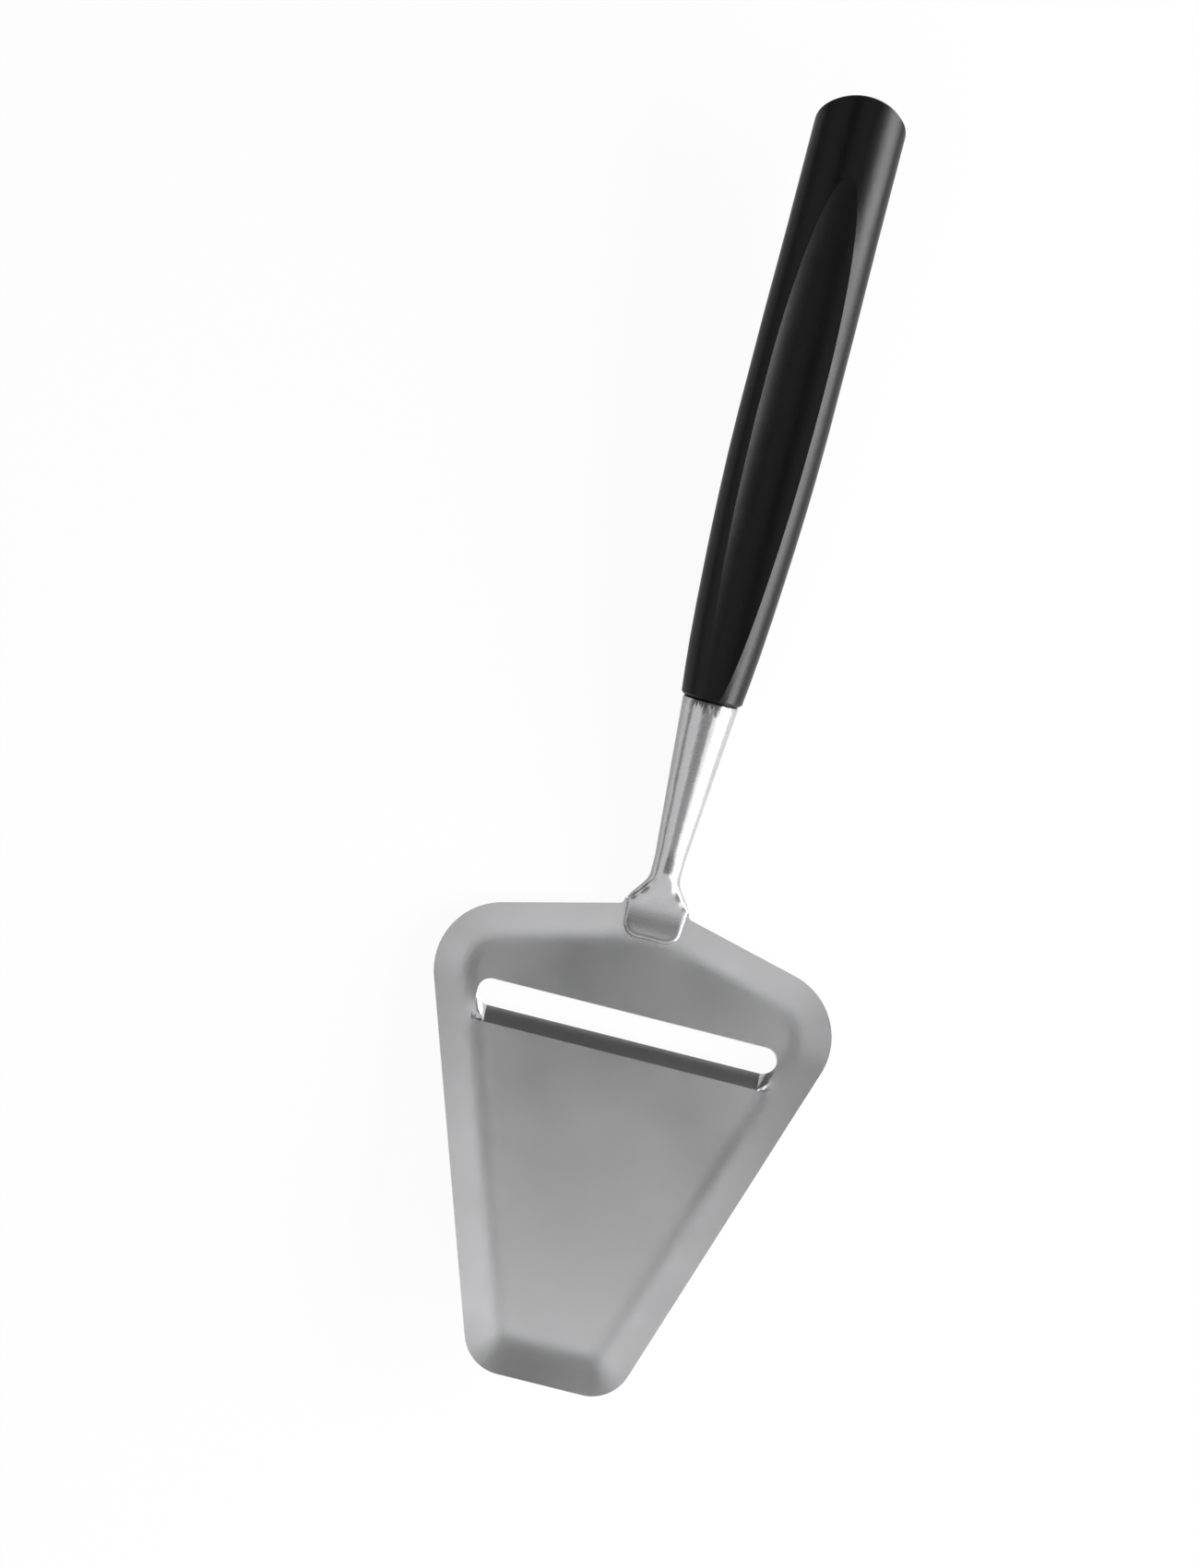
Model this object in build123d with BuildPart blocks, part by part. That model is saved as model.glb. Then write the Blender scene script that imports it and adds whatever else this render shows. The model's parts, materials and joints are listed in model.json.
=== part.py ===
from build123d import *
import os
from math import asin, atan, atan2, cos, degrees, radians, sin, sqrt, tan

# Cheese slicer, lying as it is put down on a table.
# The rear edge of the blade and the front rim of the handle touch the table,
# and the blade's front end and the handle's butt stand clear of it.
# X runs across the blade, Y along the tool towards the butt, Z up.
# The origin is on the table, under the middle of the tool's box.
# Lengths are in millimetres and angles in degrees.
os.makedirs("parts", exist_ok=True)

# Whole tool
neck_angle = 12.0
cut_overrun = 4.0

# Blade outline, seen square to its flat
blade_length = 93.6
corner_out = 42.7
corner_ahead = 10.15
rear_slope = 14.0
front_half_width = 14.0
corner_radius = 13.0
front_radius = 8.0

# Blade section: a flat panel and a rim that is pressed up all round it
sheet = 1.2
rim_width = 6.8
rim_rise = 0.55

# Slot and cutting lip
slot_length = 58.9
slot_width = 5.0
slot_ahead = 23.7
lip_run = 3.4
lip_drop = 1.2
lip_edge = 0.12

# Weld seat, where the paddle lies on the rim
seat_half_width = 6.3
seat_margin = 0.4
seat_fillet = 1.2

# Paddle and flare of the neck
paddle_length = 6.9
paddle_end_half_width = 5.2
paddle_end_thickness = 1.8
paddle_corner = 2.6
paddle_bevel = 0.2
shoulder_back = 0.2
shoulder_half_width = 5.8
apex_back = 5.75
crown_turn = 3.0
edge_turn = 6.0
face_radius = 25.0
underside_clear = 0.3
flare_half_width = 6.05
flare_step = 0.02
flare_waist_shares = (0.18, 0.67, 1.0)
flare_place_shares = (0.31, 0.69, 1.0)

# Cone of the neck
rod_radius = 2.95
cone_radius = 5.45
cone_length = 31.2
apex_to_joint = 34.3
cone_shoulder = 0.4

# Tang inside the handle
tang_length = 62.0
tang_half_width = 3.5
tang_thickness = 3.5
tang_tip = 2.0
notch_radius = 1.3
notch_first = 22.0
notch_step = 14.0
notch_count = 3

# Spot welds
weld_radius = 1.5
weld_depth = 0.5
weld_first = 2.1
weld_step = 2.9
weld_count = 2

# Handle
handle_length = 117.4
handle_front_radius = 5.9
handle_half_width = 8.88
handle_half_height = 6.9
oval_corner_angle = 45.0
handle_front_edge = 0.45
butt_rake = 39.0
butt_edge = 0.45
station_shares = (0.0, 0.04, 0.09, 0.15, 0.21, 0.27, 0.33, 0.39, 0.46, 0.63, 0.70, 0.78, 1.10)
growth_shares = (0.0, 0.17, 0.35, 0.52, 0.66, 0.79, 0.89, 0.96, 1.0, 0.995, 0.97, 0.945, 0.94)

# Thumb scoop in the handle's top
scoop_radius = 12.0
scoop_deepest = 61.5
scoop_depth = 3.15
scoop_front_depth = 0.12
scoop_butt_end = 101.8

# Shapes that follow from the sizes, in the blade's own frame:
# y is 0 at the rear edge and grows towards the handle, z is 0 on the panel's underside
rim_pitch = rim_rise / rim_width
rear_apex = corner_out * tan(radians(rear_slope)) - corner_ahead
seat_pitch = rim_pitch * cos(radians(rear_slope))
seat_rise = rim_rise - rim_pitch * rear_apex * cos(radians(rear_slope))
seat_angle = degrees(atan(seat_pitch))
seat_length = seat_rise / seat_pitch


def face_height(back):
    """Height of the paddle's hollow-ground face over the seat, at a distance behind the rear edge."""
    run = paddle_length + back
    return paddle_end_thickness + face_radius - sqrt(face_radius**2 - run**2)


def seat_to_blade(back, height):
    """A point of the seat's frame as (y, z) in the blade's frame."""
    turn = radians(seat_angle)
    y = back * cos(turn) - height * sin(turn)
    z = seat_rise + sheet + back * sin(turn) + height * cos(turn)
    return y, z


apex_y, apex_z = seat_to_blade(apex_back, face_height(apex_back))
lean = radians(neck_angle)
axis_y = apex_y + rod_radius * sin(lean)
axis_z = apex_z - rod_radius * cos(lean)
joint_y = axis_y + apex_to_joint * cos(lean)
joint_z = axis_z + apex_to_joint * sin(lean)
rim_y = joint_y + handle_front_edge * cos(lean) + handle_front_radius * sin(lean)
rim_z = joint_z + handle_front_edge * sin(lean) - handle_front_radius * cos(lean)

# The blade's flat leans back by the angle of the line from the blade's rear edge
# to the lower front rim of the handle
rest_angle = degrees(atan2(rim_z - seat_rise, rim_y))
handle_slope = neck_angle - rest_angle


def to_table(y, z):
    """A point of the blade's frame as (y, z) over the table, with y from the rear edge."""
    turn = radians(rest_angle)
    across = y * cos(turn) + (z - seat_rise) * sin(turn)
    height = (z - seat_rise) * cos(turn) - y * sin(turn)
    return across, height


butt_half_height = handle_front_radius + growth_shares[-1] * (handle_half_height - handle_front_radius)
butt_top = handle_length - butt_edge * (1 / tan(radians((90 - butt_rake) / 2)) - 1)
joint_across, joint_height = to_table(joint_y, joint_z)
slope = radians(handle_slope)
rearmost = joint_across + butt_top * cos(slope) - butt_half_height * sin(slope)
foremost = to_table(-blade_length, rim_rise)[0]
rear_edge_y = -(rearmost + foremost) / 2

# Planes that carry the sketches
blade_across, blade_height = to_table(0, 0)
blade_plane = Plane(
    origin=(0, rear_edge_y + blade_across, blade_height),
    x_dir=(1, 0, 0),
    z_dir=(0, sin(radians(rest_angle)), cos(radians(rest_angle))),
)
blade_side = Plane(origin=blade_plane.origin, x_dir=blade_plane.y_dir, z_dir=blade_plane.x_dir)
seat_turn = radians(rest_angle - seat_angle)
seat_plane = Plane(
    origin=blade_plane.from_local_coords((0, 0, seat_rise + sheet)),
    x_dir=(1, 0, 0),
    z_dir=(0, sin(seat_turn), cos(seat_turn)),
)
seat_side = Plane(origin=seat_plane.origin, x_dir=seat_plane.y_dir, z_dir=seat_plane.x_dir)
grip_plane = Plane(
    origin=(0, rear_edge_y + joint_across, joint_height),
    x_dir=(1, 0, 0),
    z_dir=(0, -sin(slope), cos(slope)),
)
grip_side = Plane(origin=grip_plane.origin, x_dir=grip_plane.y_dir, z_dir=grip_plane.x_dir)


def grip_section(along):
    """The plane square to the handle's axis, at a distance behind the joint."""
    origin = grip_plane.from_local_coords((0, along, 0))
    return Plane(origin=origin, x_dir=-grip_plane.x_dir, z_dir=grip_plane.y_dir)


def seat_section(back):
    """The plane square to the weld seat, at a distance behind the rear edge."""
    origin = seat_plane.from_local_coords((0, back, 0))
    return Plane(origin=origin, x_dir=-seat_plane.x_dir, z_dir=seat_plane.y_dir)


def blade_outline(grow):
    """The blade's outline with rounded corners, grown outwards by a distance."""
    with BuildSketch() as outline:
        with BuildLine():
            Polyline(
                (0, rear_apex),
                (corner_out, -corner_ahead),
                (front_half_width, -blade_length),
                (-front_half_width, -blade_length),
                (-corner_out, -corner_ahead),
                close=True,
            )
        make_face()
        rear_corners = outline.vertices().sort_by(Axis.X)
        fillet([rear_corners[0], rear_corners[-1]], corner_radius)
        front_corners = outline.vertices().group_by(Axis.Y)[0]
        fillet(front_corners, front_radius)
        if grow:
            offset(amount=grow, kind=Kind.INTERSECTION)
    return outline.sketch


def rod_point(lean_out):
    """A point of the rod's round section, at an angle from its crown."""
    return rod_radius * sin(radians(lean_out)), rod_radius * cos(radians(lean_out))


def rod_outline():
    """The rod's round section, parted at the places where the flare's corners grow out of it."""
    corners = (crown_turn - 180, -edge_turn, -crown_turn, crown_turn, edge_turn, 180 - crown_turn)
    arcs = [
        ThreePointArc(rod_point(start), rod_point((start + end) / 2), rod_point(end))
        for start, end in zip(corners, corners[1:] + (180 + crown_turn,))
    ]
    return Face(Wire(arcs))


def flare_outline(crown, edge, waist, top):
    """A section of the flare: flat crown, narrow bevels, bulging flanks and a flat underside."""
    edge_height = top - edge + crown
    middle = (top + flare_floor) / 2
    with BuildSketch() as outline:
        with BuildLine():
            ThreePointArc((-crown, flare_floor), (-waist, middle), (-edge, edge_height))
            Line((-edge, edge_height), (-crown, top))
            Line((-crown, top), (crown, top))
            Line((crown, top), (edge, edge_height))
            ThreePointArc((edge, edge_height), (waist, middle), (crown, flare_floor))
            Line((crown, flare_floor), (-crown, flare_floor))
        make_face()
    return outline.sketch


def grown_half(start, full, share):
    """A handle half-size that has grown by a share from its value at the front."""
    return start + share * (full - start)


def handle_oval(growth_share):
    """The handle's oval section: two flat arcs over and under it, and two tight ones at its sides."""
    wide = grown_half(handle_front_radius, handle_half_width, growth_share)
    high = grown_half(handle_front_radius, handle_half_height, growth_share)
    turn = radians(oval_corner_angle)
    side_radius = high - (wide - high) * (1 - cos(turn)) / (sin(turn) + cos(turn) - 1)
    corner_x = wide - side_radius * (1 - sin(turn))
    corner_y = side_radius * cos(turn)
    corners = ((corner_x, corner_y), (-corner_x, corner_y), (-corner_x, -corner_y), (corner_x, -corner_y))
    middles = ((0, high), (-wide, 0), (0, -high), (wide, 0))
    arcs = [
        ThreePointArc(start, middle, end)
        for start, middle, end in zip(corners, middles, corners[1:] + corners[:1])
    ]
    return Face(Wire(arcs))


# Spot welds: nuggets of melted steel across the face between paddle and blade
with BuildPart() as spot_welds:
    with BuildSketch(seat_plane.offset(-weld_depth)):
        with Locations(*[(0, -(weld_first + weld * weld_step)) for weld in range(weld_count)]):
            Circle(weld_radius)
    extrude(amount=2 * weld_depth)
spot_welds.part.label = "spot_welds"

# Tool body that presses the dish: a plate whose lower edge is drawn in along the rim's pitch
dish_reach = rim_width + cut_overrun
dish_rise = dish_reach * rim_pitch
with BuildPart() as dish:
    with BuildSketch(blade_plane.offset(sheet)):
        add(blade_outline(cut_overrun))
    extrude(amount=dish_rise + cut_overrun)
    underside = dish.faces().sort_by(Axis(blade_plane.origin, blade_plane.z_dir))[0]
    chamfer(underside.edges(), length=dish_reach, length2=dish_rise, reference=underside)

# Cutting lip: the strip ahead of the slot, bent down over the slot's straight length
# and running out flat at the slot's two ends
slot_half = slot_length / 2
slot_end = slot_width / 2
lip_half = slot_half - slot_end
lip_bend = -(slot_ahead + slot_end + lip_run)
lip_front = -(slot_ahead + slot_end)
lip_pitch = (sheet + lip_drop - lip_edge) / lip_run
lip_ground = lip_bend + lip_drop / lip_pitch
lip_root = (lip_bend - sheet / 2, sheet / 2)
bent_section = (
    (lip_bend, 0),
    (lip_ground, -lip_drop),
    (lip_front, -lip_drop),
    (lip_front, lip_edge - lip_drop),
    (lip_bend, sheet),
    lip_root,
)
flat_section = (
    (lip_bend, 0),
    (lip_ground, 0),
    (-slot_ahead, 0),
    (-slot_ahead, sheet),
    (lip_bend, sheet),
    lip_root,
)

# Blade: one pressed sheet
with BuildPart() as blade:
    with BuildSketch(blade_plane):
        add(blade_outline(0))
    extrude(amount=sheet + rim_rise)
    underside = blade.faces().sort_by(Axis(blade_plane.origin, blade_plane.z_dir))[0]
    chamfer(underside.edges(), length=rim_width, length2=rim_rise, reference=underside)
    add(dish.part, mode=Mode.SUBTRACT)
    # the rim is planished flat where the paddle lies on it, and ends square behind it
    with BuildSketch(seat_plane):
        with BuildLine():
            seat_front = -(paddle_length + seat_margin)
            Polyline(
                (-seat_half_width, seat_front),
                (seat_half_width, seat_front),
                (seat_half_width, cut_overrun),
                (-seat_half_width, cut_overrun),
                close=True,
            )
        make_face()
    extrude(amount=cut_overrun, mode=Mode.SUBTRACT)
    with BuildSketch(blade_side):
        Polygon(
            (0, seat_rise),
            (0, seat_rise + sheet),
            (-seat_length, sheet),
            (-seat_length, 0),
            align=None,
        )
    extrude(amount=seat_half_width, both=True)
    with BuildSketch(blade_plane):
        with Locations((0, cut_overrun / 2)):
            Rectangle(4 * seat_half_width, cut_overrun)
    extrude(amount=2 * cut_overrun, both=True, mode=Mode.SUBTRACT)
    # the strip that becomes the lip is cut free, and the bent lip takes its place
    with BuildSketch(blade_plane):
        Polygon(
            (-slot_half, lip_bend),
            (slot_half, lip_bend),
            (slot_half, -slot_ahead),
            (lip_half, lip_front),
            (-lip_half, lip_front),
            (-slot_half, -slot_ahead),
            align=None,
        )
    extrude(amount=2 * cut_overrun, both=True, mode=Mode.SUBTRACT)
    with BuildSketch(blade_side):
        Polygon(*bent_section, align=None)
    extrude(amount=lip_half, both=True)
    for end in (1, -1):
        with BuildSketch(blade_side.offset(end * lip_half)):
            Polygon(*bent_section, align=None)
        with BuildSketch(blade_side.offset(end * slot_half)):
            Polygon(*flat_section, align=None)
        loft(ruled=True)
    with BuildSketch(blade_plane):
        with Locations((0, -slot_ahead)):
            SlotOverall(slot_length, slot_width)
    extrude(amount=2 * cut_overrun, both=True, mode=Mode.SUBTRACT)
    # the concave corners beside the seat are rounded
    seat_corners = (
        blade.edges()
        .filter_by(lambda edge: abs(edge.tangent_at(0).dot(blade_plane.z_dir)) > cos(radians(1)))
        .filter_by(lambda edge: abs(abs(edge.center().X) - seat_half_width) < seat_margin / 2)
        .filter_by(lambda edge: 0 > blade_plane.to_local_coords(edge.center()).Y > -seat_length / 2)
        .filter_by(lambda edge: blade_plane.to_local_coords(edge.center()).Z < seat_rise + sheet / 2)
    )
    fillet(seat_corners, seat_fillet)
    add(spot_welds.part, mode=Mode.SUBTRACT)
blade.part.label = "blade"

# Neck: one forging, from the paddle through the flare and the cone to the tang
joint_to_apex = grip_plane.from_local_coords((0, -apex_to_joint, 0))
apex_plane = Plane(origin=joint_to_apex, x_dir=-grip_plane.x_dir, z_dir=grip_plane.y_dir)
rod_end = rod_outline()
flare_run = apex_back - shoulder_back
flare_floor = underside_clear - sheet
apex_crown = rod_point(crown_turn)[0]
apex_edge = rod_point(edge_turn)[0]
shoulder_edge = shoulder_half_width - flare_step
with BuildPart() as neck:
    # the paddle's side section, hollow-ground on top, cut to its shield outline
    with BuildSketch(seat_side):
        with BuildLine():
            Polyline(
                (-paddle_length, paddle_end_thickness),
                (-paddle_length, 0),
                (shoulder_back, 0),
                (shoulder_back, face_height(shoulder_back)),
            )
            ThreePointArc(
                (shoulder_back, face_height(shoulder_back)),
                (-paddle_length / 2, face_height(-paddle_length / 2)),
                (-paddle_length, paddle_end_thickness),
            )
        make_face()
    extrude(amount=2 * shoulder_half_width, both=True)
    with BuildSketch(seat_plane) as shield:
        Polygon(
            (-shoulder_half_width, shoulder_back),
            (-paddle_end_half_width, -paddle_length),
            (paddle_end_half_width, -paddle_length),
            (shoulder_half_width, shoulder_back),
            align=None,
        )
        fillet(shield.vertices().group_by(Axis.Y)[0], paddle_corner)
    extrude(amount=2 * shoulder_half_width, mode=Mode.INTERSECT)
    top_edges = neck.edges().filter_by(
        lambda edge: seat_plane.to_local_coords(edge.center()).Z > paddle_end_thickness - paddle_bevel
        and seat_plane.to_local_coords(edge.center()).Y < 0
        and abs(edge.tangent_at(0.5).dot(seat_plane.z_dir)) < 0.5
    )
    chamfer(top_edges, paddle_bevel)
    # the flare: from the round rod to a flat-topped section as wide as the paddle
    with BuildSketch(apex_plane):
        add(rod_end, clean=False)
    for place_share, waist_share in zip(flare_place_shares, flare_waist_shares):
        back = apex_back - place_share * flare_run
        edge = apex_edge + place_share * (shoulder_edge - apex_edge)
        crown = apex_crown + place_share * (shoulder_edge - paddle_bevel - apex_crown)
        waist = rod_radius + waist_share * (flare_half_width - rod_radius)
        with BuildSketch(seat_section(back)):
            add(flare_outline(crown, edge, waist, face_height(back) - place_share * flare_step))
    loft()
    # the cone, turned about the handle's axis
    with BuildSketch(grip_side) as turned:
        Polygon(
            (-apex_to_joint, 0),
            (-apex_to_joint, rod_radius),
            (-cone_length, rod_radius),
            (0, cone_radius),
            (0, 0),
            align=None,
        )
        chamfer(turned.vertices().sort_by(Axis.Y)[-1], cone_shoulder)
    revolve(axis=Axis(grip_side.origin, grip_side.x_dir))
    # the flat tang, with notches that key it into the moulding
    with BuildSketch(grip_plane.offset(-tang_thickness / 2)):
        Polygon(
            (-tang_half_width, 0),
            (tang_half_width, 0),
            (tang_half_width, tang_length - tang_tip),
            (tang_half_width - tang_tip, tang_length),
            (tang_tip - tang_half_width, tang_length),
            (-tang_half_width, tang_length - tang_tip),
            align=None,
        )
        for notch in range(notch_count):
            along = notch_first + notch * notch_step
            with Locations((tang_half_width, along), (-tang_half_width, along)):
                Circle(notch_radius, mode=Mode.SUBTRACT)
    extrude(amount=tang_thickness)
    add(spot_welds.part, mode=Mode.SUBTRACT)
neck.part.label = "neck"

# Handle: a moulding around the tang, with a hollow for the thumb in its top
handle_ovals = [handle_oval(growth_share) for growth_share in growth_shares]
with BuildPart() as handle:
    for station_share, oval in zip(station_shares, handle_ovals):
        with BuildSketch(grip_section(station_share * handle_length)):
            add(oval, clean=False)
    loft(ruled=True)
    butt_crown = grip_plane.from_local_coords((0, handle_length, butt_half_height))
    rake = radians(butt_rake)
    butt_normal = grip_plane.y_dir * cos(rake) - grip_plane.z_dir * sin(rake)
    split(bisect_by=Plane(origin=butt_crown, z_dir=butt_normal), keep=Keep.BOTTOM)
    along_axis = Axis(grip_plane.origin, grip_plane.y_dir)
    chamfer(handle.faces().sort_by(along_axis)[-1].edges(), butt_edge)
    chamfer(handle.faces().sort_by(along_axis)[0].edges(), handle_front_edge)
    # the scoop is a round cutter's path along two arcs that meet at its deepest place
    deepest_z = handle_half_height - scoop_depth
    front_rise = handle_front_radius - scoop_front_depth - deepest_z
    butt_rise = butt_half_height - deepest_z
    for toward, run, rise in (
        (-1, scoop_deepest, front_rise),
        (1, scoop_butt_end - scoop_deepest, butt_rise),
    ):
        path_radius = (run**2 + rise**2) / (2 * rise) - scoop_radius
        turn = degrees(asin((run + cut_overrun) / path_radius))
        start = (scoop_deepest, deepest_z + scoop_radius)
        with BuildLine(grip_side) as cutter_path:
            JernArc(start, (toward, 0), path_radius, toward * turn)
        with BuildSketch(grip_section(scoop_deepest)):
            with Locations((0, deepest_z + scoop_radius)):
                Circle(scoop_radius)
        sweep(path=cutter_path.line, mode=Mode.SUBTRACT)
    add(neck.part, mode=Mode.SUBTRACT)
handle.part.label = "handle"

for piece in (blade, neck, spot_welds, handle):
    export_step(piece.part, "parts/" + piece.part.label + ".step")
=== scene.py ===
"""Cheese slicer: the finishes of its blade, neck and handle, its stage, light and camera."""
import json
import math

import bmesh
import bpy
from mathutils import Matrix, Vector
from mathutils.kdtree import KDTree


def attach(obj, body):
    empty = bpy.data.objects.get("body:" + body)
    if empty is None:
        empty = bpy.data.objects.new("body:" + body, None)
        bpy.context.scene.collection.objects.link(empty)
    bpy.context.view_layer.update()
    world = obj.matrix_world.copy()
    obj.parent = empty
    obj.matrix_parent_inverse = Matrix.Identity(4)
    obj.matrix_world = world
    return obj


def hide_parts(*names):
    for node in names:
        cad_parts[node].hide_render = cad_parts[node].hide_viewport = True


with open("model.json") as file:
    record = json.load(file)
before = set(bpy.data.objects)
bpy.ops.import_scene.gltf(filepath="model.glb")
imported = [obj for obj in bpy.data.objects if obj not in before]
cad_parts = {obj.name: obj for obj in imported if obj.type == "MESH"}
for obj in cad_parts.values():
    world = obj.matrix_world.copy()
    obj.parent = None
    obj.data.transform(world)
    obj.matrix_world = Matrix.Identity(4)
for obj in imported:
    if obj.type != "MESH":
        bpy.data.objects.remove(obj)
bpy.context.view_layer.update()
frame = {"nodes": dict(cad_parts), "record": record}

bl_info = {
    "name": "Cheese Slicer",
    "version": (1, 0, 0),
    "blender": (4, 5, 0),
    "location": "3D View > Sidebar > Slicer",
    "description": "Finishes the blade, neck and handle of a cheese slicer and sets its stage",
    "category": "Object",
}

BODY = "root"
MM = 0.001

# The blade's flat panel, from the record's flat face under it
SOLE = frame["record"]["mounts"][0]
SOLE_PLACE = Vector(SOLE["pos_m"])
PANEL_NORMAL = -Vector(SOLE["axis"])

# Soft turns of the blade's pressed folds and of the neck's flare: how far round a corner faces
# are averaged, how far they may lean apart, and the grid, as its step and the first and last cut
# across and along the panel
FOLD_REACH = 2.4 * MM
FOLD_TURN = math.radians(12)
FOLD_GRID = (1.2 * MM, ((-34, 34), (-45, 45)))
FLARE_REACH = 1.0 * MM
FLARE_TURN = math.radians(65)
FLARE_GRID = (0.5 * MM, ((-12, 12), (-9, 24)))

# Meshes: what counts as one point, as one plane and as an edge that is broken, and how wide
MERGE = 0.001 * MM
FLAT_TURN = math.radians(0.4)
BREAK_TURN = math.radians(50)
BREAK_WIDTH = 0.09 * MM
BREAK_STEPS = 2

# Angles up to which neighbouring faces are shaded as one
SMOOTH_BLADE = math.radians(24)
SMOOTH_NECK = math.radians(40)
SMOOTH_HANDLE = math.radians(14)

# Steels: roughness, scale of the lines along X, Y and Z for one pitch, share of specks, relief
BLADE_STEEL = (0.22, (0.5, 0.12, 0.5), 0.75, 0.004 * MM)
NECK_STEEL = (0.27, (0.03, 0.6, 0.03), 0.5, 0.003 * MM)
WELD_STEEL = (0.5, (0.4, 0.4, 0.4), 0.5, 0.006 * MM)
WELD_COLOUR = (0.40, 0.39, 0.38)
STEEL_CLOUD = 22 * MM
STEEL_TINT = 0.12
STEEL_BUMP = 0.5
STEEL_SPREAD = (-0.05, 0.06)

# Plastic of the handle
PLASTIC_CLOUD = 9 * MM
PLASTIC_TINT = 0.5
PLASTIC_BUMP = 0.6
PLASTIC_RELIEF = 0.03 * MM
PLASTIC_ROUGHNESS = (0.28, 0.38)
PLASTIC_SPECULAR = 0.27
PLASTIC_IOR = 1.48

# The part of a noise pattern's values that is spread over a range
PATTERN_START, PATTERN_END = 0.3, 0.7

# Soft lights: name, lean from overhead towards +X and +Y in degrees, distance, size, radiance
SOFT_LIGHTS = (
    ("key", (71, 0), 0.80, (0.90, 0.42), 12.5),
    ("left", (-52, -12), 0.80, (0.60, 0.70), 0.8),
    ("front", (0, -43), 0.90, (0.74, 1.20), 0.78),
    ("front_right", (37, -30), 0.90, (0.40, 0.36), 1.6),
    ("over_rear", (3.5, 0.5), 1.20, (0.11, 0.50), 1.45),
    ("over_left", (12.5, 10.5), 1.20, (0.28, 0.10), 1.9),
    ("over_right", (-5.5, 9), 1.20, (0.20, 0.10), 1.9),
)

# Floor: its own colour, and how much of it is plain white to each kind of ray
FLOOR_COLOUR = (0.93, 0.93, 0.93, 1.0)
WHITE = (1.0, 1.0, 1.0, 1.0)
WHITE_SHARES = (("Is Camera Ray", 0.94), ("Is Glossy Ray", 0.35), ("Is Transmission Ray", 0.35))

# Camera, as the photograph was taken, for an image of 1300 by 1700 pixels
CAMERA_PLACE = (-0.0577, -0.0120, 0.900)
CAMERA_PAN = math.radians(-2.627)
CAMERA_ROLL = math.radians(14.302)
CAMERA_LENS = 108.15
CAMERA_REACH = (0.05, 20.0)


class SlicerFinish(bpy.types.PropertyGroup):
    """Colours and textures of the slicer."""

    blade_colour: bpy.props.FloatVectorProperty(
        name="Blade colour",
        description="Colour of the pressed sheet steel",
        subtype="COLOR",
        size=3,
        min=0,
        max=1,
        default=(0.62, 0.62, 0.63),
    )
    neck_colour: bpy.props.FloatVectorProperty(
        name="Neck colour",
        description="Colour of the forged steel neck",
        subtype="COLOR",
        size=3,
        min=0,
        max=1,
        default=(0.56, 0.56, 0.57),
    )
    handle_colour: bpy.props.FloatVectorProperty(
        name="Handle colour",
        description="Colour of the moulded handle",
        subtype="COLOR",
        size=3,
        min=0,
        max=1,
        default=(0.0018, 0.0018, 0.0020),
    )
    brush_pitch: bpy.props.FloatProperty(
        name="Brush pitch",
        description="Distance between the brush lines on the steel",
        subtype="DISTANCE",
        unit="LENGTH",
        default=0.35 * MM,
    )
    speck_size: bpy.props.FloatProperty(
        name="Speck size",
        description="Size of the fine specks on the steel",
        subtype="DISTANCE",
        unit="LENGTH",
        default=0.2 * MM,
    )
    grain_size: bpy.props.FloatProperty(
        name="Grain size",
        description="Size of the fine grain on the moulded handle",
        subtype="DISTANCE",
        unit="LENGTH",
        default=0.28 * MM,
    )


class SlicerStage(bpy.types.PropertyGroup):
    """Light and floor of the studio."""

    floor_size: bpy.props.FloatProperty(
        name="Floor size",
        description="Length of the floor's side",
        subtype="DISTANCE",
        unit="LENGTH",
        default=6.0,
    )
    room_light: bpy.props.FloatProperty(
        name="Room light",
        description="Brightness of the even light from all round",
        default=0.10,
    )


def finish():
    """The colours and textures that the scene holds."""
    return bpy.context.scene.slicer_finish


def choose(piece):
    """Makes a piece the only selected object and the active one."""
    bpy.ops.object.select_all(action="DESELECT")
    piece.select_set(True)
    bpy.context.view_layer.objects.active = piece


def merged_copy(node, name):
    """A copy of a node's mesh with its loose triangles joined, as a piece of its own."""
    piece = bpy.data.objects.new(name, frame["nodes"][node].data.copy())
    bpy.context.scene.collection.objects.link(piece)
    choose(piece)
    bpy.ops.object.mode_set(mode="EDIT")
    bpy.ops.mesh.select_all(action="SELECT")
    bpy.ops.mesh.customdata_custom_splitnormals_clear()
    bpy.ops.mesh.remove_doubles(threshold=MERGE)
    bpy.ops.object.mode_set(mode="OBJECT")
    if not piece.data.polygons:
        raise RuntimeError(f"{name} has no faces after its copy was merged")
    return piece


def apply_modifier(piece, kind, **settings):
    """Adds a modifier with its settings and applies it."""
    choose(piece)
    modifier = piece.modifiers.new(kind.title(), kind)
    for key, value in settings.items():
        setattr(modifier, key, value)
    bpy.ops.object.modifier_apply(modifier=modifier.name)


def cut_grid(piece, centre, step, counts):
    """Cuts a piece's faces into a grid along the blade's panel, so that normals can turn softly."""
    choose(piece)
    bpy.ops.object.mode_set(mode="EDIT")
    mesh = bmesh.from_edit_mesh(piece.data)
    across = Vector((1, 0, 0))
    for way, (first, last) in zip((across, PANEL_NORMAL.cross(across)), counts):
        for index in range(first, last + 1):
            parts = mesh.verts[:] + mesh.edges[:] + mesh.faces[:]
            place = centre + way * step * index
            bmesh.ops.bisect_plane(mesh, geom=parts, plane_co=place, plane_no=way, dist=MERGE)
    bmesh.update_edit_mesh(piece.data)
    bpy.ops.object.mode_set(mode="OBJECT")


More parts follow.
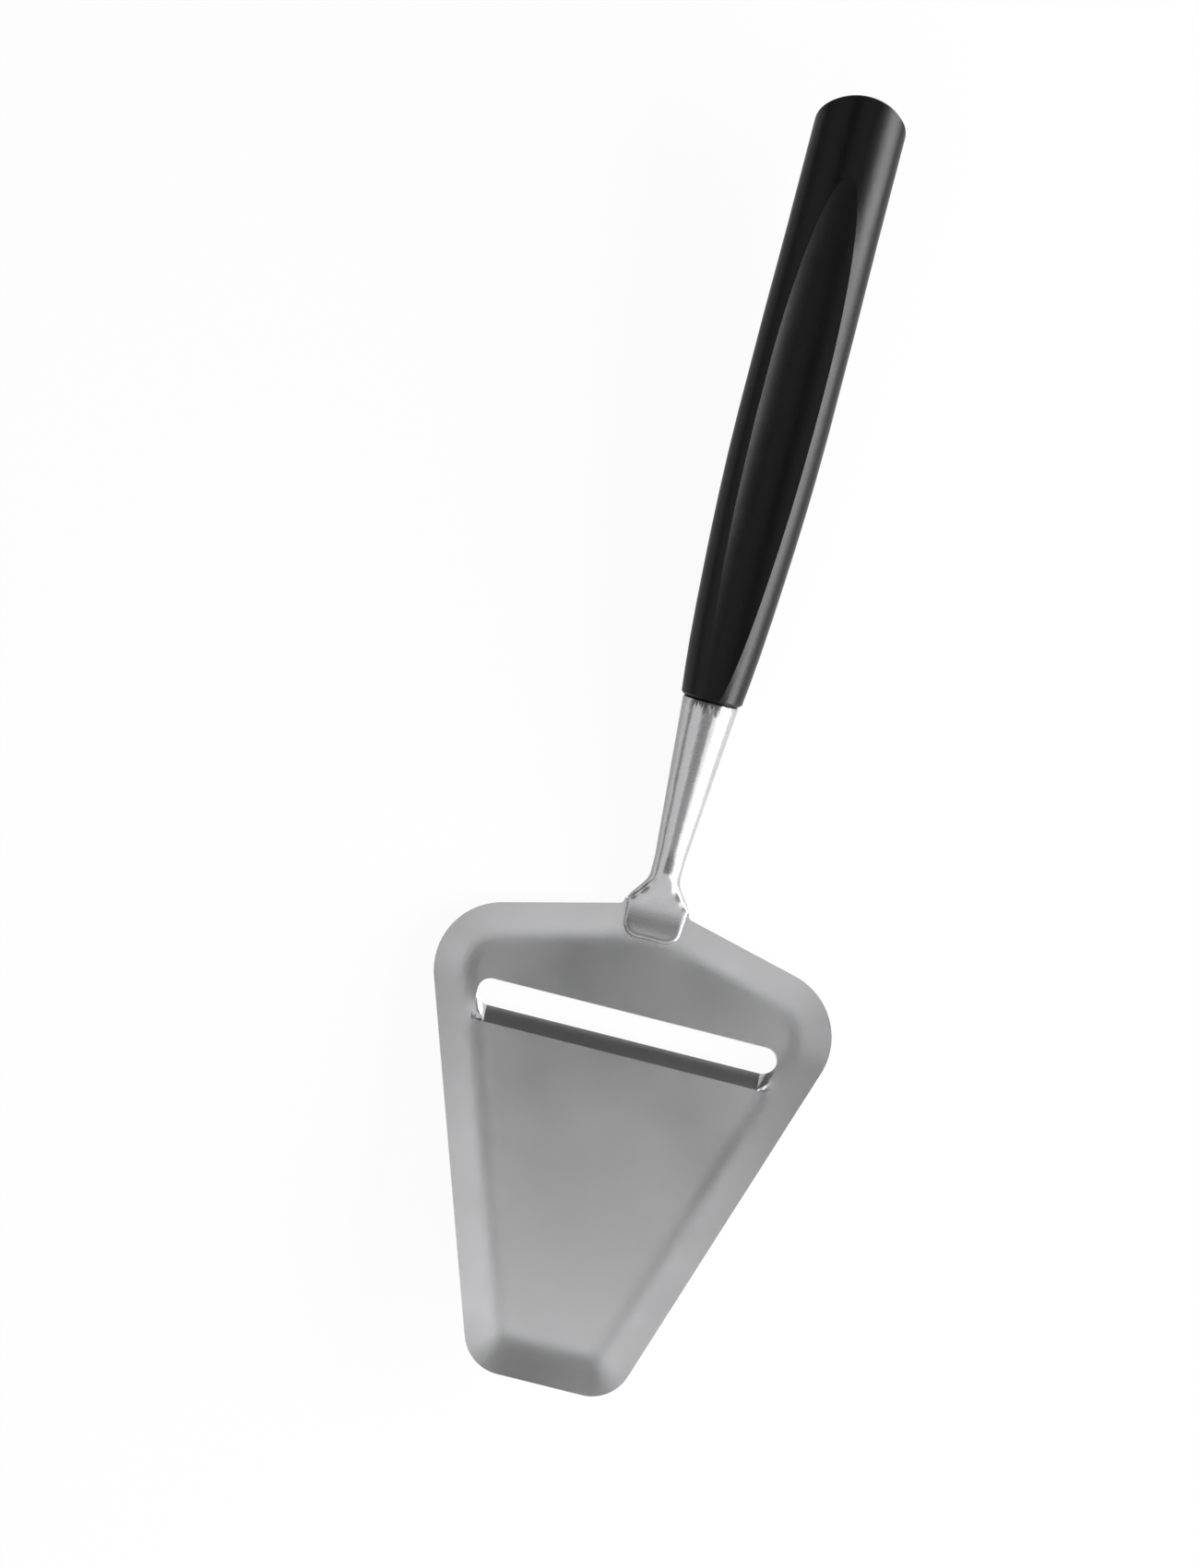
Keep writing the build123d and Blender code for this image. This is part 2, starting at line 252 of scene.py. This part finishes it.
def soften_normals(piece, reach, turn):
    """Turns each corner's normal to the mean of the faces round it that lie nearly the same way."""
    mesh = piece.data
    faces = mesh.polygons
    tree = KDTree(len(faces))
    for face in faces:
        tree.insert(face.center, face.index)
    tree.balance()
    normals = [corner.vector.copy() for corner in mesh.corner_normals]
    alike = math.cos(turn)
    for face in faces:
        for corner in face.loop_indices:
            place = mesh.vertices[mesh.loops[corner].vertex_index].co
            mean = Vector()
            for centre, index, distance in tree.find_range(place, reach):
                if faces[index].normal.dot(face.normal) > alike:
                    mean += faces[index].normal * faces[index].area * (1 - (distance / reach) ** 2)
            if mean.length > 0:
                normals[corner] = mean.normalized()
    mesh.normals_split_custom_set(normals)


def dress(piece, node, material):
    """Gives a piece its material and its place in the frame."""
    piece.data.materials.clear()
    piece.data.materials.append(material)
    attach(piece, BODY)
    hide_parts(node)


def dress_node(name, material):
    """Gives a CAD node its material and leaves its mesh as it is."""
    slots = frame["nodes"][name].material_slots
    if not slots:
        raise RuntimeError(f"{name} has no material slot")
    for slot in slots:
        slot.material = material


def add_node(tree, kind, **inputs):
    """Adds a shader node and sets its inputs by name."""
    node = tree.nodes.new(kind)
    for key, value in inputs.items():
        node.inputs[key.replace("_", " ")].default_value = value
    return node


def scaled(tree, source, scale):
    """Texture coordinates scaled by axis, for a pattern that is stretched along one way."""
    mapping = add_node(tree, "ShaderNodeMapping", Scale=scale)
    tree.links.new(source, mapping.inputs["Vector"])
    return mapping.outputs["Vector"]


def noise(tree, vector, scale, detail, roughness):
    """A noise pattern read at some coordinates."""
    texture = add_node(tree, "ShaderNodeTexNoise", Scale=scale, Detail=detail, Roughness=roughness)
    tree.links.new(vector, texture.inputs["Vector"])
    return texture.outputs["Fac"]


def spread(tree, value, low, high):
    """A pattern's values brought to the range from low to high."""
    ends = {"From_Min": PATTERN_START, "From_Max": PATTERN_END, "To_Min": low, "To_Max": high}
    node = add_node(tree, "ShaderNodeMapRange", **ends)
    tree.links.new(value, node.inputs["Value"])
    return node.outputs["Result"]


def blend_values(tree, first, second, share):
    """Two patterns mixed by a share of the second."""
    node = tree.nodes.new("ShaderNodeMix")
    node.inputs["Factor"].default_value = share
    tree.links.new(first, node.inputs["A"])
    tree.links.new(second, node.inputs["B"])
    return node.outputs["Result"]


def tinted(tree, value, colour, change):
    """A colour that a pattern makes a little darker and lighter."""
    ramp = tree.nodes.new("ShaderNodeValToRGB")
    for stop, factor in zip(ramp.color_ramp.elements, (1 - change, 1 + change)):
        stop.color = (*[min(1, channel * factor) for channel in colour], 1)
    tree.links.new(value, ramp.inputs["Fac"])
    return ramp.outputs["Color"]


def bumped(tree, height, strength, distance):
    """A bump from a pattern's height."""
    bump = add_node(tree, "ShaderNodeBump", Strength=strength, Distance=distance)
    tree.links.new(height, bump.inputs["Height"])
    return bump.outputs["Normal"]


def new_material(name):
    """A material with an empty node tree but for its surface and object coordinates."""
    material = bpy.data.materials.new(name)
    material.use_nodes = True
    tree = material.node_tree
    tree.nodes.clear()
    surface = tree.nodes.new("ShaderNodeBsdfPrincipled")
    output = tree.nodes.new("ShaderNodeOutputMaterial")
    tree.links.new(surface.outputs["BSDF"], output.inputs["Surface"])
    coordinates = tree.nodes.new("ShaderNodeTexCoord").outputs["Object"]
    return material, tree, surface, coordinates


def satin_steel(name, colour, roughness, lines_scale, speck_share, relief):
    """Satin steel with fine lines, drawn out along the axes of small scale, and specks in them."""
    material, tree, surface, coordinates = new_material(name)
    brush = [scale / finish().brush_pitch for scale in lines_scale]
    brushed = scaled(tree, coordinates, brush)
    lines = noise(tree, brushed, scale=1.0, detail=4.0, roughness=0.65)
    speck = noise(tree, coordinates, 1 / finish().speck_size, detail=3.0, roughness=0.7)
    cloud = noise(tree, coordinates, 1 / STEEL_CLOUD, detail=3.0, roughness=0.5)
    grain = blend_values(tree, lines, speck, speck_share)
    tree.links.new(tinted(tree, grain, colour, STEEL_TINT), surface.inputs["Base Color"])
    gloss = blend_values(tree, grain, cloud, share=0.5)
    low, high = [roughness + change for change in STEEL_SPREAD]
    tree.links.new(spread(tree, gloss, low, high), surface.inputs["Roughness"])
    tree.links.new(bumped(tree, grain, STEEL_BUMP, relief), surface.inputs["Normal"])
    surface.inputs["Metallic"].default_value = 1.0
    return material


def moulded_plastic(name, colour, grain_size):
    """Matt black plastic with the fine spark-eroded grain of its mould."""
    material, tree, surface, coordinates = new_material(name)
    grain = noise(tree, coordinates, 1 / grain_size, detail=2.5, roughness=0.6)
    cloud = noise(tree, coordinates, 1 / PLASTIC_CLOUD, detail=2.0, roughness=0.5)
    tree.links.new(tinted(tree, grain, colour, PLASTIC_TINT), surface.inputs["Base Color"])
    gloss = blend_values(tree, grain, cloud, share=0.4)
    tree.links.new(spread(tree, gloss, *PLASTIC_ROUGHNESS), surface.inputs["Roughness"])
    tree.links.new(bumped(tree, grain, PLASTIC_BUMP, PLASTIC_RELIEF), surface.inputs["Normal"])
    surface.inputs["Specular IOR Level"].default_value = PLASTIC_SPECULAR
    surface.inputs["IOR"].default_value = PLASTIC_IOR
    return material


class SLICER_OT_blade(bpy.types.Operator):
    """Softens the pressed folds of the blade and gives it its brushed finish"""

    bl_idname = "slicer.blade"
    bl_label = "Blade"

    def execute(self, context):
        piece = merged_copy("blade", "blade_sheet")
        bpy.ops.object.mode_set(mode="EDIT")
        bpy.ops.mesh.select_all(action="SELECT")
        bpy.ops.mesh.dissolve_limited(angle_limit=FLAT_TURN, delimit=set())
        bpy.ops.object.mode_set(mode="OBJECT")
        apply_modifier(
            piece,
            "BEVEL",
            width=BREAK_WIDTH,
            segments=BREAK_STEPS,
            limit_method="ANGLE",
            angle_limit=BREAK_TURN,
        )
        cut_grid(piece, SOLE_PLACE, *FOLD_GRID)
        bpy.ops.object.shade_smooth_by_angle(angle=SMOOTH_BLADE, keep_sharp_edges=False)
        soften_normals(piece, FOLD_REACH, FOLD_TURN)
        steel = satin_steel("Blade steel", finish().blade_colour, *BLADE_STEEL)
        dress(piece, "blade", steel)
        return {"FINISHED"}


class SLICER_OT_neck(bpy.types.Operator):
    """Smooths the forged neck and gives it its satin finish"""

    bl_idname = "slicer.neck"
    bl_label = "Neck"

    def execute(self, context):
        piece = merged_copy("neck", "forged_neck")
        welds = frame["nodes"]["spot_welds"].data.vertices
        paddle = sum((vertex.co for vertex in welds), Vector()) / len(welds)
        cut_grid(piece, paddle, *FLARE_GRID)
        bpy.ops.object.shade_smooth_by_angle(angle=SMOOTH_NECK, keep_sharp_edges=False)
        soften_normals(piece, FLARE_REACH, FLARE_TURN)
        steel = satin_steel("Neck steel", finish().neck_colour, *NECK_STEEL)
        dress(piece, "neck", steel)
        return {"FINISHED"}


class SLICER_OT_welds(bpy.types.Operator):
    """Gives the spot welds between paddle and blade their dull finish"""

    bl_idname = "slicer.welds"
    bl_label = "Spot welds"

    def execute(self, context):
        dress_node("spot_welds", satin_steel("Weld steel", WELD_COLOUR, *WELD_STEEL))
        return {"FINISHED"}


class SLICER_OT_handle(bpy.types.Operator):
    """Smooths the moulded handle and gives it its fine grain"""

    bl_idname = "slicer.handle"
    bl_label = "Handle"

    def execute(self, context):
        piece = merged_copy("handle", "moulded_handle")
        bpy.ops.object.shade_smooth_by_angle(angle=SMOOTH_HANDLE, keep_sharp_edges=False)
        plastic = moulded_plastic("Black plastic", finish().handle_colour, finish().grain_size)
        dress(piece, "handle", plastic)
        return {"FINISHED"}


def add_softbox(name, lean, distance, size, radiance):
    """A soft lamp that faces the origin, its first side along Y, as bright as asked at any size."""
    tilts = [math.tan(math.radians(angle)) for angle in lean]
    back = Vector((*tilts, 1)).normalized()
    along = Vector((0, 1, 0))
    along = (along - along.dot(back) * back).normalized()
    bpy.ops.object.light_add(type="AREA")
    lamp = bpy.context.object
    lamp.name = name
    lamp.data.shape = "RECTANGLE"
    lamp.data.size, lamp.data.size_y = size
    lamp.data.energy = radiance * math.pi * size[0] * size[1]
    turn = Matrix((along, back.cross(along), back)).transposed().to_4x4()
    lamp.matrix_world = Matrix.Translation(distance * back) @ turn
    lamp.visible_camera = False


def floor_material():
    """Pale floor that keeps the slicer's shadow and looks white behind it and mirrored in it."""
    material = bpy.data.materials.new("Floor")
    material.use_nodes = True
    tree = material.node_tree
    tree.nodes.clear()
    matt = add_node(tree, "ShaderNodeBsdfDiffuse", Color=FLOOR_COLOUR)
    white = add_node(tree, "ShaderNodeEmission", Color=WHITE, Strength=1.0)
    path = tree.nodes.new("ShaderNodeLightPath")
    share = None
    for ray, amount in WHITE_SHARES:
        part = tree.nodes.new("ShaderNodeMath")
        part.operation = "MULTIPLY"
        part.inputs[1].default_value = amount
        tree.links.new(path.outputs[ray], part.inputs[0])
        if share is None:
            share = part
            continue
        either = tree.nodes.new("ShaderNodeMath")
        either.operation = "MAXIMUM"
        tree.links.new(share.outputs["Value"], either.inputs[0])
        tree.links.new(part.outputs["Value"], either.inputs[1])
        share = either
    mix = tree.nodes.new("ShaderNodeMixShader")
    tree.links.new(share.outputs["Value"], mix.inputs["Fac"])
    tree.links.new(matt.outputs["BSDF"], mix.inputs[1])
    tree.links.new(white.outputs["Emission"], mix.inputs[2])
    output = tree.nodes.new("ShaderNodeOutputMaterial")
    tree.links.new(mix.outputs["Shader"], output.inputs["Surface"])
    return material


class SLICER_OT_stage(bpy.types.Operator):
    """Sets the floor, the soft lights, the room and the camera"""

    bl_idname = "slicer.stage"
    bl_label = "Stage"

    def execute(self, context):
        scene = context.scene
        stage = scene.slicer_stage
        bpy.ops.mesh.primitive_plane_add(size=stage.floor_size, location=(0, 0, 0))
        floor = context.object
        floor.name = "floor"
        floor.data.materials.append(floor_material())
        for light in SOFT_LIGHTS:
            add_softbox(*light)
        world = bpy.data.worlds.new("Room")
        scene.world = world
        world.use_nodes = True
        shade = world.node_tree.nodes["Background"]
        shade.inputs["Color"].default_value = WHITE
        shade.inputs["Strength"].default_value = stage.room_light
        bpy.ops.object.camera_add()
        camera = context.object
        camera.name = "camera"
        camera.data.lens = CAMERA_LENS
        camera.data.clip_start, camera.data.clip_end = CAMERA_REACH
        camera.matrix_world = (
            Matrix.Translation(CAMERA_PLACE)
            @ Matrix.Rotation(CAMERA_PAN, 4, "Y")
            @ Matrix.Rotation(CAMERA_ROLL, 4, "Z")
        )
        scene.camera = camera
        scene.view_settings.view_transform = "Standard"
        return {"FINISHED"}


class SLICER_PT_panel(bpy.types.Panel):
    """Lists the slicer's pieces, finishes and stage"""

    bl_idname = "SLICER_PT_panel"
    bl_label = "Cheese slicer"
    bl_space_type = "VIEW_3D"
    bl_region_type = "UI"
    bl_category = "Slicer"

    def draw(self, context):
        layout = self.layout
        for group in (context.scene.slicer_finish, context.scene.slicer_stage):
            for key in group.__annotations__:
                layout.prop(group, key)
        for operator in OPERATORS:
            layout.operator(operator.bl_idname)


OPERATORS = (SLICER_OT_blade, SLICER_OT_neck, SLICER_OT_welds, SLICER_OT_handle, SLICER_OT_stage)
CLASSES = (SlicerFinish, SlicerStage, *OPERATORS, SLICER_PT_panel)


def register():
    for each in CLASSES:
        bpy.utils.register_class(each)
    bpy.types.Scene.slicer_finish = bpy.props.PointerProperty(type=SlicerFinish)
    bpy.types.Scene.slicer_stage = bpy.props.PointerProperty(type=SlicerStage)


def unregister():
    del bpy.types.Scene.slicer_stage
    del bpy.types.Scene.slicer_finish
    for each in reversed(CLASSES):
        bpy.utils.unregister_class(each)


def main():
    """Makes the pieces and the stage."""
    register()
    bpy.ops.slicer.blade()
    bpy.ops.slicer.neck()
    bpy.ops.slicer.welds()
    bpy.ops.slicer.handle()
    bpy.ops.slicer.stage()


if __name__ == "__main__":
    main()
